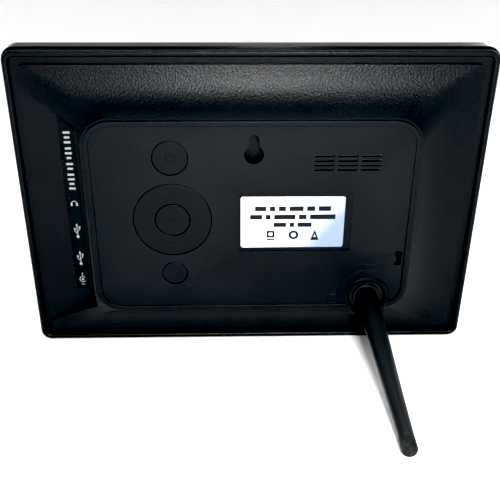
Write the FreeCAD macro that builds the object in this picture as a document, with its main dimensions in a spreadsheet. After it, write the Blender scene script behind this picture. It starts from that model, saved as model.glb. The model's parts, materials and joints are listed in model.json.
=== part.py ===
import FreeCAD, Part
import math
import os
import re
import Sketcher

# A digital photo frame: a slim bezel with a display, a coved back cover with keys, ports and a
# swivelling screw-in leg.  Everything is drawn in panel coordinates: X to the right as seen from
# behind, Y up the panel, Z straight out of the back, and Z = 0 where bezel and cover meet.  The
# assembly is then stood up and leaned back until the bezel's feet and the leg's tip all rest on
# the ground.

SIZES = [
    # front bezel and window pane
    ("frame_width", 207.6), ("frame_height", 143.0), ("frame_corner", 6.0), ("frame_y", 1.15),
    ("bezel_depth", 8.0), ("bezel_front_round", 1.2), ("bezel_rear_round", 0.4),
    ("bezel_wall", 4.0), ("front_flange", 1.2),
    ("pane_margin", 7.0), ("pane_thickness", 1.2), ("pane_corner", 4.0), ("pane_gap", 0.15),
    ("lip_thickness", 1.2), ("lip_height", 0.8), ("lip_gap", 0.2),
    ("snap_length", 9.0), ("snap_depth", 0.4), ("snap_height", 0.4), ("snap_spacing", 52.0),
    # anti-slip feet under the bezel
    ("foot_x", 78.0), ("foot_length", 12.0), ("foot_width", 4.0), ("foot_recess", 0.5),
    ("foot_rise", 0.5), ("foot_setback", 0.8),
    # display module
    ("lcd_width", 165.0), ("lcd_height", 100.0), ("lcd_depth", 4.6), ("lcd_gap", 0.3),
    ("view_width", 154.5), ("view_height", 87.5), ("view_gap", 0.75),
    ("lcd_sheet", 0.3), ("cell_thickness", 1.1), ("stack_gap", 0.05), ("tray_thickness", 0.5),
    ("rib_thickness", 1.5), ("rib_height", 3.0),
    ("lcd_screw_reach", 4.3), ("lcd_screw_y", 30.0), ("lcd_screw_grip", 3.5), ("lcd_boss_radius", 2.6),
    ("lcd_pilot_floor", 0.5),
    ("washer_radius", 5.4), ("washer_thickness", 0.5),
    # back cover: rim bead, groove, cove and plateau
    ("cover_inset", 1.0), ("cover_wall", 1.8), ("rim_wall", 1.6),
    ("bead_width", 2.6), ("bead_height", 4.0), ("bead_round", 1.1),
    ("groove_width", 3.2), ("groove_level", 2.0), ("rim_pocket", 1.0),
    ("cove_foot_room", 1.6), ("cove_top_level", 14.2), ("cove_corner", 2.5),
    ("plateau_width", 142.0), ("plateau_height", 91.2), ("plateau_corner", 11.0),
    ("plateau_level", 15.0), ("plateau_step", 0.8),
    ("ridge_width", 2.3), ("ridge_rise", 0.5), ("ridge_round", 0.4),
    # port ledge
    ("ledge_level", 3.0), ("port_wall_x", -72.6),
    ("ledge_top_inner", 41.1), ("ledge_top_outer", 57.0),
    ("ledge_bottom_inner", -46.3), ("ledge_bottom_outer", -59.7),
    ("strip_x", -79.7), ("strip_y", 2.9), ("strip_width", 6.4), ("strip_length", 87.0),
    ("strip_thickness", 0.3), ("strip_gap", 0.1),
    # keys
    ("key_x", -35.0), ("ring_y", 0.6), ("power_spacing", 3.7), ("return_spacing", 3.5),
    ("power_hole", 7.8), ("ring_hole", 17.3), ("ok_hole", 7.7), ("return_hole", 5.8),
    ("key_gap", 0.25), ("key_flange", 1.0), ("key_bottom", 11.9), ("key_flange_gap", 0.1),
    ("key_stem_radius", 1.9), ("key_stem_bottom", 11.25), ("key_edge_round", 0.35),
    ("ok_bottom", 10.9), ("ok_flange_top", 11.5),
    ("ring_bottom", 12.0), ("ring_flange_gap", 0.75),
    ("web_inner", 9.0), ("web_outer", 11.0), ("web_bottom", 11.2), ("web_thickness", 0.5),
    ("key_board_level", 7.0), ("key_board_thickness", 1.2), ("key_board_width", 22.0),
    ("key_board_arm", 33.0), ("key_board_arm_height", 11.0),
    ("key_board_top", 36.0), ("key_board_bottom", -33.0),
    ("switch_size", 6.0), ("switch_height", 2.0), ("switch_radius", 13.0),
    ("switch_bore", 1.7), ("switch_floor", 0.4), ("plunger_radius", 1.6), ("plunger_root", 1.2),
    ("ring_plunger_top", 11.55),
    ("key_screw_x", 8.5), ("key_screw_above", 2.9), ("key_screw_below", 3.5),
    ("key_screw_reach", 3.5), ("ok_flange", 0.7),
    ("header_width", 12.0), ("header_height", 2.5), ("header_y", -30.5),
    # fasteners
    ("boss_radius", 2.4), ("pilot_radius", 0.9), ("thread_gap", 0.03), ("hole_gap", 0.3),
    ("screw_head_radius", 2.2), ("screw_head_height", 1.4), ("screw_length", 4.5),
    ("boss_overlap", 0.3), ("cut_margin", 0.1), ("sliver", 0.01),
    # main board and what it carries
    ("board_level", 4.0), ("board_thickness", 1.6), ("board_left", -70.4), ("board_right", 18.0),
    ("board_half_height", 42.0), ("board_screw_left", -54.0), ("board_screw_right", 14.5),
    ("board_screw_y", 40.0),
    ("chip_size", 16.0), ("chip_height", 1.5), ("chip_x", 2.0), ("chip_y", 8.0),
    ("memory_width", 11.0), ("memory_length", 20.0), ("memory_height", 1.1), ("memory_y", -14.0),
    ("capacitor_radius", 3.15), ("capacitor_height", 5.4), ("capacitor_y", -31.0),
    ("capacitor_pitch", 8.5), ("inductor_size", 7.0), ("inductor_height", 3.2),
    ("inductor_x", -52.0), ("inductor_y", -26.0), ("inductor_corner", 1.2),
    ("memory_spread", 7.15),
    # sockets, all facing the port ledge
    ("socket_wall", 0.3), ("socket_setback", 0.15), ("socket_gap", 0.2), ("socket_clearance", 0.1),
    ("card_y", 23.4), ("card_width", 24.6), ("card_height", 2.2), ("card_depth", 24.0),
    ("card_side", 1.7),
    ("phone_y", 3.9), ("phone_radius", 1.8), ("phone_nose_radius", 2.6), ("phone_nose_gap", 0.3),
    ("phone_nose_root", 0.5), ("phone_floor", 1.0), ("phone_axis", 2.7),
    ("phone_width", 6.0), ("phone_height", 5.2), ("phone_length", 14.0),
    ("host_y", -10.2), ("host_width", 12.5), ("host_height", 5.12), ("host_depth", 13.5),
    ("tongue_thickness", 1.84), ("tongue_side", 0.7), ("tongue_setback", 1.2),
    ("insert_block", 2.5), ("insert_gap", 0.05),
    ("device_y", -24.4), ("device_width", 6.9), ("device_height", 3.1), ("device_depth", 9.0),
    ("device_tongue", 0.8),
    ("power_jack_y", -35.8), ("power_jack_radius", 2.15), ("power_jack_pin", 0.8),
    ("power_jack_width", 6.4), ("power_jack_height", 6.0), ("power_jack_depth", 10.0),
    ("power_jack_floor", 1.2), ("pin_setback", 0.8), ("pin_round", 0.4),
    # display ribbon
    ("ribbon_x", -14.0), ("ribbon_width", 24.0), ("ribbon_thickness", 0.3),
    ("ribbon_start", -34.0), ("ribbon_rise_start", -20.0), ("ribbon_rise_end", -13.0),
    ("ribbon_end", -4.0), ("ribbon_level", 2.9), ("connector_height", 1.6),
    ("connector_depth", 5.0), ("connector_side", 2.0), ("ribbon_gap", 0.1),
    # speaker and its grille
    ("speaker_x", 40.3), ("speaker_y", 27.2), ("speaker_width", 32.0), ("speaker_height", 19.0),
    ("speaker_corner", 4.0), ("speaker_frame", 2.0), ("speaker_depth", 2.4),
    ("basket_floor", 0.6), ("cone_rise", 1.1), ("cone_gap", 0.05),
    ("cone_thickness", 0.5), ("magnet_radius", 7.0), ("magnet_height", 3.4),
    ("lead_width", 2.4), ("lead_thickness", 0.8), ("lead_drop", 4.0), ("lead_run", 3.0),
    ("lead_rise", 0.4), ("lead_gap", 0.05), ("lead_landing", 5.0),
    ("grille_pitch_x", 10.05), ("grille_pitch_y", 2.05), ("grille_slot_width", 8.4),
    ("grille_slot_height", 1.15),
    # keyhole
    ("keyhole_x", 0.4), ("keyhole_y", 30.9), ("keyhole_head_radius", 4.15),
    ("keyhole_neck_radius", 2.25), ("keyhole_travel", 6.45), ("keyhole_depth", 5.5),
    ("keyhole_room", 4.5), ("keyhole_wall", 1.4),
    # rating label and lock slot
    ("label_x", 17.7), ("label_y", -0.8), ("label_width", 45.6), ("label_height", 24.6),
    ("label_recess_x", 18.6), ("label_recess_width", 50.2), ("label_recess_height", 28.2),
    ("label_recess_depth", 0.3), ("label_thickness", 0.15), ("label_corner", 1.0),
    ("lock_x", 66.1), ("lock_y", -19.2), ("lock_width", 3.2), ("lock_height", 7.2),
    ("lock_corner", 1.2), ("lock_plate_width", 5.6), ("lock_plate_height", 15.0),
    ("lock_plate_shift", 0.4),
    ("lock_plate_thickness", 1.2),
    # swivel hub and leg
    ("hub_x", 53.4), ("hub_y", -39.7), ("hub_recess_radius", 8.6), ("hub_ring_radius", 10.6),
    ("hub_ring_level", 15.6), ("hub_ring_round", 0.4), ("hub_floor_level", 10.2),
    ("hub_web", 2.2), ("hub_boss_bottom", 3.0),
    ("hub_room_radius", 8.4), ("hub_gap", 0.3), ("pivot_bore", 4.0), ("pivot_gap", 0.05),
    ("hub_float", 0.08), ("hub_disc_top", 13.2), ("hub_disc_round", 0.6),
    ("hub_collar_radius", 6.2), ("hub_collar_top", 14.6), ("hub_collar_round", 0.5),
    ("pointer_width", 2.2), ("pointer_reach", 7.9), ("pointer_root", 0.6), ("pointer_sink", 0.2),
    ("pointer_height", 0.9),
    ("swivel_screw_radius", 1.3), ("swivel_screw_depth", 2.6), ("swivel_head_radius", 3.0),
    ("swivel_head_height", 1.8), ("swivel_screw_slack", 0.2),
    ("swivel_washer_radius", 7.4), ("swivel_washer_thickness", 0.6),
    ("stud_radius", 2.4), ("stud_root_level", 10.9), ("stud_length", 10.0), ("stud_side_gap", 0.2),
    ("stud_root_gap", 0.1),
    ("leg_tilt", 2.2), ("leg_start", 14.85), ("leg_length", 99.0),
    ("leg_root_radius", 5.15), ("leg_root_length", 5.0),
    ("leg_knee", 64.0), ("leg_knee_radius", 3.6),
    ("leg_end_radius", 3.05), ("leg_root_round", 0.8), ("tip_length", 8.0), ("tip_round", 2.6),
    ("tip_peg_radius", 1.6), ("tip_peg_length", 6.0), ("tip_peg_gap", 0.2),
    ("insert_radius", 3.6), ("insert_length", 9.0), ("insert_setback", 0.3), ("insert_top", 12.0),
]

COVE_STEPS = 5          # spans between the cove's cross sections
COVE_FOOT_SLOPE = 0.37  # share of the cove's rise that is straight; the rest curves upwards
COVE_INNER_SHIFT = 1.2  # how far the cove's inner face stands inside its outer face
STEP_WALL_SHARE = 1.2   # a slanted step wall's thickness measured along Y, in cover walls

DOC = FreeCAD.newDocument("digital_photo_frame")
SHEET = DOC.addObject("Spreadsheet::Sheet", "Sizes")
BODIES = {}
TOP = FreeCAD.Vector(0, 0, 1)


# Places that follow from the sizes above.
TIED = [
    ("cove_foot_level", "=cove_foot_room + cover_wall"),
    ("power_y", "=ring_y + ring_hole + power_hole + power_spacing"),
    ("return_y", "=ring_y - ring_hole - return_hole - return_spacing"),
    ("key_flange_top", "=plateau_level - cover_wall - key_flange_gap"),
    ("ring_flange_top", "=plateau_level - cover_wall - ring_flange_gap"),
    ("key_screw_upper", "=ring_y + ring_hole + key_screw_above"),
    ("key_screw_lower", "=ring_y - ring_hole - key_screw_below"),
]


def fill_sheet():
    """Writes every driving dimension into the sheet, one row each."""
    for row, (alias, content) in enumerate(SIZES + TIED, start=1):
        SHEET.set(f"A{row}", alias)
        SHEET.set(f"B{row}", str(content))
        SHEET.setAlias(f"B{row}", alias)
    DOC.recompute()


ALIASES = {alias for alias, content in SIZES + TIED}


def formula(text):
    """Puts the sheet's name before each of its aliases."""
    return re.sub(r"[a-z]\w*", lambda m: f"Sizes.{m[0]}" if m[0] in ALIASES else m[0], text)


def value(text):
    """The number that a formula gives with the sheet's present sizes."""
    return float(SHEET.evalExpression(formula(text)))


# ---- outlines: each is drawn in a sketch and held by formulas -------------------------------

def hold(sketch, kind, formula_text, *geometry):
    """A dimension constraint that follows a formula."""
    index = sketch.addConstraint(Sketcher.Constraint(kind, *geometry, value(formula_text)))
    sketch.setExpression(f"Constraints[{index}]", formula(formula_text))


def circle(x, y, radius):
    """A circle about (x, y)."""
    def draw(sketch):
        centre = FreeCAD.Vector(value(x), value(y), 0)
        ring = sketch.addGeometry(Part.Circle(centre, TOP, value(radius)), False)
        hold(sketch, "DistanceX", x, -1, 1, ring, 3)
        hold(sketch, "DistanceY", y, -1, 1, ring, 3)
        hold(sketch, "Radius", radius, ring)
    return draw


def polygon(points):
    """A closed outline through points, each a pair of formulas."""
    def draw(sketch):
        spots = [FreeCAD.Vector(value(x), value(y), 0) for x, y in points]
        count = len(spots)
        lines = [sketch.addGeometry(Part.LineSegment(spots[k], spots[(k + 1) % count]), False)
                 for k in range(count)]
        for k, (x, y) in enumerate(points):
            sketch.addConstraint(Sketcher.Constraint("Coincident", lines[k - 1], 2, lines[k], 1))
            hold(sketch, "DistanceX", x, -1, 1, lines[k], 1)
            hold(sketch, "DistanceY", y, -1, 1, lines[k], 1)
    return draw


def box(x, y, width, height):
    """A rectangle about (x, y)."""
    left, right = f"({x}) - ({width})/2", f"({x}) + ({width})/2"
    low, high = f"({y}) - ({height})/2", f"({y}) + ({height})/2"
    return polygon([(left, low), (right, low), (right, high), (left, high)])


def rounded(x, y, width, height, radius):
    """A rectangle about (x, y) with rounded corners."""
    def draw(sketch):
        cx, cy, r = value(x), value(y), value(radius)
        a, b = value(width) / 2 - r, value(height) / 2 - r
        edges = []
        for k, (sx, sy) in enumerate([(1, -1), (1, 1), (-1, 1), (-1, -1)]):
            px, py = [(-1, -1), (1, -1), (1, 1), (-1, 1)][k]
            across = FreeCAD.Vector(*[(0, -r), (r, 0), (0, r), (-r, 0)][k], 0)
            start = FreeCAD.Vector(cx + px * a, cy + py * b, 0) + across
            centre = FreeCAD.Vector(cx + sx * a, cy + sy * b, 0)
            edges.append(sketch.addGeometry(Part.LineSegment(start, centre + across), False))
            turn = math.radians(90 * k - 90)
            arc = Part.ArcOfCircle(Part.Circle(centre, TOP, r), turn, turn + math.pi / 2)
            edges.append(sketch.addGeometry(arc, False))
        for k in range(8):
            sketch.addConstraint(Sketcher.Constraint("Tangent", edges[k], 2, edges[(k + 1) % 8], 1))
        for k in (0, 4):
            sketch.addConstraint(Sketcher.Constraint("Horizontal", edges[k]))
            sketch.addConstraint(Sketcher.Constraint("Vertical", edges[k + 2]))
        for k in (3, 5, 7):
            sketch.addConstraint(Sketcher.Constraint("Equal", edges[1], edges[k]))
        hold(sketch, "Radius", radius, edges[1])
        hold(sketch, "DistanceX", f"({x}) - ({width})/2", -1, 1, edges[6], 1)
        hold(sketch, "DistanceY", f"({y}) - ({height})/2", -1, 1, edges[0], 1)
        hold(sketch, "DistanceX", width, edges[6], 1, edges[2], 1)
        hold(sketch, "DistanceY", height, edges[0], 1, edges[4], 1)
    return draw


# ---- bodies and features --------------------------------------------------------------------

def new_body(label):
    """An empty body, which becomes one named sub-part."""
    body = DOC.addObject("PartDesign::Body", label)
    body.Label = label
    BODIES[label] = body
    return body


def new_sketch(body, level, shapes, plane="XY_Plane"):
    """A sketch on one of the body's own planes, moved along that plane's normal to a level."""
    sketch = body.newObject("Sketcher::SketchObject", f"{body.Name}_sketch")
    origin_plane = [part for part in body.Origin.OriginFeatures if part.Role == plane][0]
    sketch.AttachmentSupport = [(origin_plane, "")]
    sketch.MapMode = "FlatFace"
    sketch.setExpression("AttachmentOffset.Base.z", formula(level))
    for draw in shapes:
        draw(sketch)
    return sketch


def pad(body, level, thickness, *shapes, plane="XY_Plane"):
    """Adds the shapes as a slab that starts at a level."""
    feature = body.newObject("PartDesign::Pad", f"{body.Name}_pad")
    feature.Profile = new_sketch(body, level, shapes, plane)
    feature.setExpression("Length", formula(thickness))
    return feature


def cut(body, level, depth, *shapes, plane="XY_Plane"):
    """Cuts the shapes out of the body, from a level along the plane's normal."""
    feature = body.newObject("PartDesign::Pocket", f"{body.Name}_pocket")
    feature.Profile = new_sketch(body, level, shapes, plane)
    feature.Reversed = True
    feature.setExpression("Length", formula(depth))
    return feature


def revolve(body, points):
    """Turns an outline of (radius, height) points about the body's Z axis."""
    feature = body.newObject("PartDesign::Revolution", f"{body.Name}_turned")
    sketch = new_sketch(body, "0", [polygon(points)], "XZ_Plane")
    feature.Profile = sketch
    feature.ReferenceAxis = (sketch, ["V_Axis"])
    feature.Angle = 360.0
    return feature


def round_edges(body, radius, wanted):
    """Rounds the edges of the body's present shape that the wanted test picks."""
    DOC.recompute()
    base = body.Tip
    names = [f"Edge{k}" for k, edge in enumerate(base.Shape.Edges, start=1) if wanted(edge)]
    feature = body.newObject("PartDesign::Fillet", f"{body.Name}_fillet")
    feature.Base = (base, names)
    feature.setExpression("Radius", formula(radius))
    return feature


def flat_at(level):
    """A test for edges that lie at a level."""
    height = value(level)

    def test(edge):
        limits = edge.BoundBox
        return abs(limits.ZMin - height) < 0.001 and abs(limits.ZMax - height) < 0.001
    return test


def frame_outline(inset):
    """The frame's outline, moved inwards by an inset all round."""
    return rounded("0", "frame_y", f"frame_width - 2*({inset})", f"frame_height - 2*({inset})",
                   f"frame_corner - ({inset})")


def plateau_outline(inset):
    """The plateau's outline, moved inwards by an inset all round."""
    return rounded("0", "0", f"plateau_width - 2*({inset})", f"plateau_height - 2*({inset})",
                   f"plateau_corner - ({inset})")


# ---- front bezel, pane and display -------------------------------------------------------------

FLOOR = "(pane_thickness + front_flange - bezel_depth)"  # level of the bezel's inner floor
LCD_BACK = f"({FLOOR} + lcd_depth)"
LCD_SCREWS = [(f"{side}*(lcd_width/2 + lcd_screw_reach)", f"frame_y + {end}*lcd_screw_y")
              for side in (-1, 1) for end in (-1, 1)]
SNAPS_ALONG = [f"{k}*snap_spacing" for k in (-1, 0, 1)]
FOOT_OUTLINES = [box(f"{side}*foot_x", "frame_y - frame_height/2 + (foot_recess - foot_rise)/2",
                     "foot_length", "foot_recess + foot_rise") for side in (-1, 1)]


def snap_boxes(depth, gap):
    """Snap bumps (or their notches) along the long sides of the lip."""
    face = "(frame_height/2 - bezel_wall + lip_thickness)"
    return [box(x, f"frame_y + {side}*({face} + ({depth})/2)", f"snap_length + 2*({gap})", depth)
            for x in SNAPS_ALONG for side in (-1, 1)]


def make_front_bezel():
    body = new_body("front_bezel")
    pad(body, "-bezel_depth", "bezel_depth", frame_outline("0"))
    round_edges(body, "bezel_front_round", flat_at("-bezel_depth"))
    round_edges(body, "bezel_rear_round", flat_at("0"))
    cut(body, "-bezel_depth", "pane_thickness",
        rounded("0", "frame_y", "frame_width - 2*pane_margin + 2*pane_gap",
                "frame_height - 2*pane_margin + 2*pane_gap", "pane_corner + pane_gap"))
    cut(body, "-bezel_depth", "bezel_depth",
        box("0", "frame_y", "view_width + 2*view_gap", "view_height + 2*view_gap"))
    cut(body, FLOOR, "bezel_depth", frame_outline("bezel_wall"))
    pad(body, "-bezel_wall/2", "bezel_wall/2 + lip_height",
        frame_outline("bezel_wall - lip_thickness"), frame_outline("bezel_wall"))
    pad(body, "lip_height - snap_height", "snap_height", *snap_boxes("snap_depth", "0"))
    pad(body, FLOOR, "rib_height",
        box("0", "frame_y", "lcd_width + 2*(lcd_gap + rib_thickness)",
            "lcd_height + 2*(lcd_gap + rib_thickness)"),
        box("0", "frame_y", "lcd_width + 2*lcd_gap", "lcd_height + 2*lcd_gap"))
    pad(body, FLOOR, "lcd_depth", *[circle(x, y, "lcd_boss_radius") for x, y in LCD_SCREWS])
    cut(body, f"{FLOOR} + lcd_pilot_floor", "lcd_depth",
        *[circle(x, y, "pilot_radius") for x, y in LCD_SCREWS])
    cut(body, "-(foot_setback + foot_width)", "foot_width", *FOOT_OUTLINES)


def make_bezel_feet():
    """Two rubber pads let into the bezel's lower edge, which the frame stands on."""
    pad(new_body("bezel_feet"), "-(foot_setback + foot_width)", "foot_width", *FOOT_OUTLINES)


def make_screen_window():
    body = new_body("screen_window")
    pad(body, "-bezel_depth", "pane_thickness",
        rounded("0", "frame_y", "frame_width - 2*pane_margin", "frame_height - 2*pane_margin",
                "pane_corner"))


def make_display():
    """The display module: a sheet-steel front frame round the cell, the light guide and a tray."""
    outer = box("0", "frame_y", "lcd_width", "lcd_height")
    inside = box("0", "frame_y", "lcd_width - 2*lcd_sheet", "lcd_height - 2*lcd_sheet")
    layer = box("0", "frame_y", "lcd_width - 2*(lcd_sheet + stack_gap)",
                "lcd_height - 2*(lcd_sheet + stack_gap)")
    front_frame = new_body("lcd_front_frame")
    pad(front_frame, FLOOR, "lcd_sheet", outer, box("0", "frame_y", "view_width", "view_height"))
    pad(front_frame, f"{FLOOR} + lcd_sheet", "lcd_depth - lcd_sheet - tray_thickness", outer, inside)
    pad(new_body("lcd_cell"), f"{FLOOR} + lcd_sheet + stack_gap", "cell_thickness", layer)
    guide_level = f"{FLOOR} + lcd_sheet + cell_thickness + 2*stack_gap"
    pad(new_body("light_guide"), guide_level,
        "lcd_depth - lcd_sheet - cell_thickness - tray_thickness - 3*stack_gap", layer)
    pad(new_body("lcd_rear_tray"), f"{LCD_BACK} - tray_thickness", "tray_thickness", outer)


def screw_holes(screws):
    """Clearance holes for a set of screws."""
    return [circle(x, y, "pilot_radius + hole_gap") for x, y in screws]


def make_lcd_fixings():
    washers = new_body("lcd_washers")
    pad(washers, LCD_BACK, "washer_thickness", *[circle(x, y, "washer_radius") for x, y in LCD_SCREWS])
    cut(washers, LCD_BACK, "washer_thickness", *screw_holes(LCD_SCREWS))
    screws = new_body("lcd_screws")
    pad(screws, f"{LCD_BACK} + washer_thickness", "screw_head_height",
        *[circle(x, y, "screw_head_radius") for x, y in LCD_SCREWS])
    pad(screws, f"{LCD_BACK} - lcd_screw_grip", "lcd_screw_grip + washer_thickness",
        *[circle(x, y, "pilot_radius - thread_gap") for x, y in LCD_SCREWS])


def make_display_ribbon():
    """A flat ribbon that lies on the display's tray, then rises to its connector under the board."""
    low, up = f"({LCD_BACK})", "ribbon_level"
    lower = [("ribbon_start", low), ("ribbon_rise_start", low), ("ribbon_rise_end", up), ("ribbon_end", up)]
    upper = [(y, f"{level} + ribbon_thickness") for y, level in reversed(lower)]
    ribbon = new_body("display_ribbon")
    pad(ribbon, "ribbon_x - ribbon_width/2", "ribbon_width", polygon(lower + upper), plane="YZ_Plane")
    connector = new_body("ribbon_connector")
    pad(connector, "board_level - connector_height", "connector_height",
        box("ribbon_x", "ribbon_end", "ribbon_width + 2*connector_side", "connector_depth"))
    cut(connector, "ribbon_level - ribbon_gap/2", "ribbon_thickness + ribbon_gap",
        box("ribbon_x", "ribbon_end - connector_depth/4", "ribbon_width + 2*ribbon_gap",
            "connector_depth/2 + ribbon_gap"))


# ---- back cover -------------------------------------------------------------------------------

def cove_section(step, drop, inset):
    """Level and outline of one cross section of the cove; drop and inset move it inside the wall.

    The sections slide from the frame's middle at the foot to the plateau's middle at the top."""
    along = step / COVE_STEPS
    rise = COVE_FOOT_SLOPE * along + (1 - COVE_FOOT_SLOPE) * along ** 3
    level = f"cove_foot_level + {rise}*(cove_top_level - cove_foot_level) - ({drop})"
    foot_inset = "(cover_inset + bead_width + groove_width)"
    foot_width, foot_height = f"(frame_width - 2*{foot_inset})", f"(frame_height - 2*{foot_inset})"
    top_width, top_height = "(plateau_width + 2*plateau_step)", "(plateau_height + 2*plateau_step)"
    width = f"{foot_width} + {along}*({top_width} - {foot_width}) - 2*({inset})"
    height = f"{foot_height} + {along}*({top_height} - {foot_height}) - 2*({inset})"
    corner = f"cove_corner + {along}*(plateau_corner + plateau_step - cove_corner) - ({inset})"
    return level, rounded("0", f"{1 - along}*frame_y", width, height, corner)


def add_cove(body, drop, inset):
    """The concave shoulder, lofted through its cross sections."""
    sketches = []
    for step in range(COVE_STEPS + 1):
        level, outline = cove_section(step, drop, inset)
        sketches.append(new_sketch(body, level, [outline]))
    loft = body.newObject("PartDesign::AdditiveLoft", f"{body.Name}_cove")
    loft.Profile = sketches[0]
    loft.Sections = sketches[1:]
    return loft


LEDGE_OUTER = "(cover_inset + bead_width + groove_width/2 - frame_width/2)"  # in the groove


def ledge_outline(margin, slope_margin):
    """The port ledge's outline, which widens towards the rim."""
    return polygon([
        (LEDGE_OUTER, f"ledge_bottom_outer - ({slope_margin})"),
        (f"port_wall_x + {margin}", f"ledge_bottom_inner - ({slope_margin})"),
        (f"port_wall_x + {margin}", f"ledge_top_inner + ({slope_margin})"),
        (LEDGE_OUTER, f"ledge_top_outer + ({slope_margin})"),
    ])


def make_cover_core():
    """The air inside the cover, which is taken out of the cover's outer shape."""
    core = DOC.addObject("PartDesign::Body", "cover_core")
    pad(core, "-cut_margin", "cut_margin + rim_pocket", frame_outline("cover_inset + rim_wall"))
    level, outline = cove_section(0, "cover_wall", str(COVE_INNER_SHIFT))
    pad(core, "0", level, outline)
    add_cove(core, "cover_wall", str(COVE_INNER_SHIFT))
    pad(core, "cove_top_level - 2*cover_wall", "plateau_level - cove_top_level + cover_wall",
        plateau_outline("cover_wall"))
    cut(core, "ledge_level - cover_wall", "plateau_level",
        ledge_outline("cover_wall", f"{STEP_WALL_SHARE}*cover_wall"))
    return core


def make_rear_cover():
    body = new_body("rear_cover")
    pad(body, "0", "groove_level", frame_outline("cover_inset"))
    pad(body, "groove_level", "bead_height - groove_level",
        frame_outline("cover_inset"), frame_outline("cover_inset + bead_width"))
    round_edges(body, "bead_round", flat_at("bead_height"))
    level, outline = cove_section(0, "0", "0")
    pad(body, "groove_level", f"{level} - groove_level", outline)
    add_cove(body, "0", "0")
    pad(body, "cove_top_level", "plateau_level - cove_top_level", plateau_outline("0"))
    pad(body, "plateau_level", "ridge_rise", plateau_outline("0"), plateau_outline("ridge_width"))
    round_edges(body, "ridge_round", flat_at("plateau_level + ridge_rise"))
    cut(body, "ledge_level", "plateau_level", ledge_outline("0", "0"))
    cut(body, "ledge_level - strip_thickness", "strip_thickness",
        box("strip_x", "strip_y", "strip_width + 2*strip_gap", "strip_length + 2*strip_gap"))
    hollow = body.newObject("PartDesign::Boolean", "rear_cover_hollow")
    hollow.setObjects([make_cover_core()])
    hollow.Type = "Cut"
    add_cover_bosses(body)
    cut_cover_openings(body)
    add_hub_housing(body)
    cut(body, "lip_height - snap_height - lip_gap/2", "snap_height + lip_gap",
        *snap_boxes("snap_depth + 2*lip_gap", "lip_gap"))


BOARD_SCREWS = [("board_screw_left", "board_screw_y"), ("board_screw_left", "-board_screw_y"),
                ("board_screw_right", "board_screw_y"), ("board_screw_right", "-board_screw_y")]
KEY_SCREWS = [(f"key_x + {side}*key_screw_x", y) for side in (-1, 1)
              for y in ("key_screw_upper", "key_screw_lower")]
BOARD_TOP = "(board_level + board_thickness)"
KEY_BOARD_TOP = "(key_board_level + key_board_thickness)"
CEILING = "(plateau_level - cover_wall)"  # level of the plateau's inner face


def keyhole_slot(radius):
    """A round-ended slot along the keyhole's travel."""
    return rounded("keyhole_x", "keyhole_y + keyhole_travel/2", f"2*({radius})",
                   f"keyhole_travel + 2*({radius})", f"{radius} - sliver")


def add_cover_bosses(body):
    """Screw bosses that hang from the plateau, for the main board and the key board."""
    for top, screws in ((BOARD_TOP, BOARD_SCREWS), (KEY_BOARD_TOP, KEY_SCREWS)):
        pad(body, top, f"{CEILING} - {top} + boss_overlap", *[circle(x, y, "boss_radius") for x, y in screws])
        cut(body, top, f"{CEILING} - {top}", *[circle(x, y, "pilot_radius") for x, y in screws])
    pad(body, "plateau_level - keyhole_depth - keyhole_wall",
        "keyhole_depth + keyhole_wall - cover_wall + boss_overlap",
        keyhole_slot("keyhole_room + keyhole_wall"))


def cut_cover_openings(body):
    """Key holes, keyhole, grille, label recess, lock slot and the sockets' openings."""
    def cut_through(*shapes):
        cut(body, f"{CEILING} - cut_margin", "cover_wall + 2*cut_margin", *shapes)

    for y, radius in (("power_y", "power_hole"), ("ring_y", "ring_hole"), ("return_y", "return_hole")):
        cut_through(circle("key_x", y, radius))
    cut(body, "plateau_level - keyhole_depth", "keyhole_depth - cover_wall", keyhole_slot("keyhole_room"))
    cut_through(circle("keyhole_x", "keyhole_y", "keyhole_head_radius"))
    cut_through(keyhole_slot("keyhole_neck_radius"))
    slots = [box(f"speaker_x + {column}*grille_pitch_x", f"speaker_y + {row}*grille_pitch_y",
                 "grille_slot_width", "grille_slot_height")
             for column in (-1, 0, 1) for row in (-1.5, -0.5, 0.5, 1.5)]
    cut_through(*slots)
    cut(body, "plateau_level - label_recess_depth", "label_recess_depth",
        rounded("label_recess_x", "label_y", "label_recess_width", "label_recess_height", "label_corner"))
    cut_through(rounded("lock_x", "lock_y", "lock_width", "lock_height", "lock_corner"))
    sockets = [box("card_y", f"{BOARD_TOP} + socket_wall + card_height/2",
                   "card_width + 2*socket_gap", "card_height + 2*socket_gap"),
               circle("phone_y", f"{BOARD_TOP} + phone_axis", "phone_nose_radius + phone_nose_gap"),
               *[box(f"{socket}_y", f"{BOARD_TOP} + socket_wall + {socket}_height/2",
                     f"{socket}_width + 2*(socket_wall + socket_gap)",
                     f"{socket}_height + 2*(socket_wall + socket_gap)") for socket in ("host", "device")],
               circle("power_jack_y", f"{BOARD_TOP} + power_jack_height/2", "power_jack_radius + socket_gap")]
    cut(body, "port_wall_x - cut_margin", "cover_wall + cut_margin + 2*socket_clearance", *sockets,
        plane="YZ_Plane")


def add_hub_housing(body):
    """The round housing that the swivel hub turns in."""
    bottom_room = "hub_floor_level - hub_web - hub_boss_bottom"
    ring_foot = "(hub_ring_level - hub_ring_round)"
    pad(body, "hub_boss_bottom", f"{ring_foot} - hub_boss_bottom",
        circle("hub_x", "hub_y", "hub_ring_radius"))
    bevel = pad(body, ring_foot, "hub_ring_round", circle("hub_x", "hub_y", "hub_ring_radius"))
    bevel.TaperAngle = -45.0
    cut(body, "hub_floor_level", "plateau_level", circle("hub_x", "hub_y", "hub_recess_radius"))
    cut(body, "hub_boss_bottom - cut_margin", f"{bottom_room} + cut_margin",
        circle("hub_x", "hub_y", "hub_room_radius"))
    cut(body, "hub_boss_bottom", "plateau_level", circle("hub_x", "hub_y", "pivot_bore"))
    round_edges(body, "hub_ring_round", is_hub_mouth)


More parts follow.
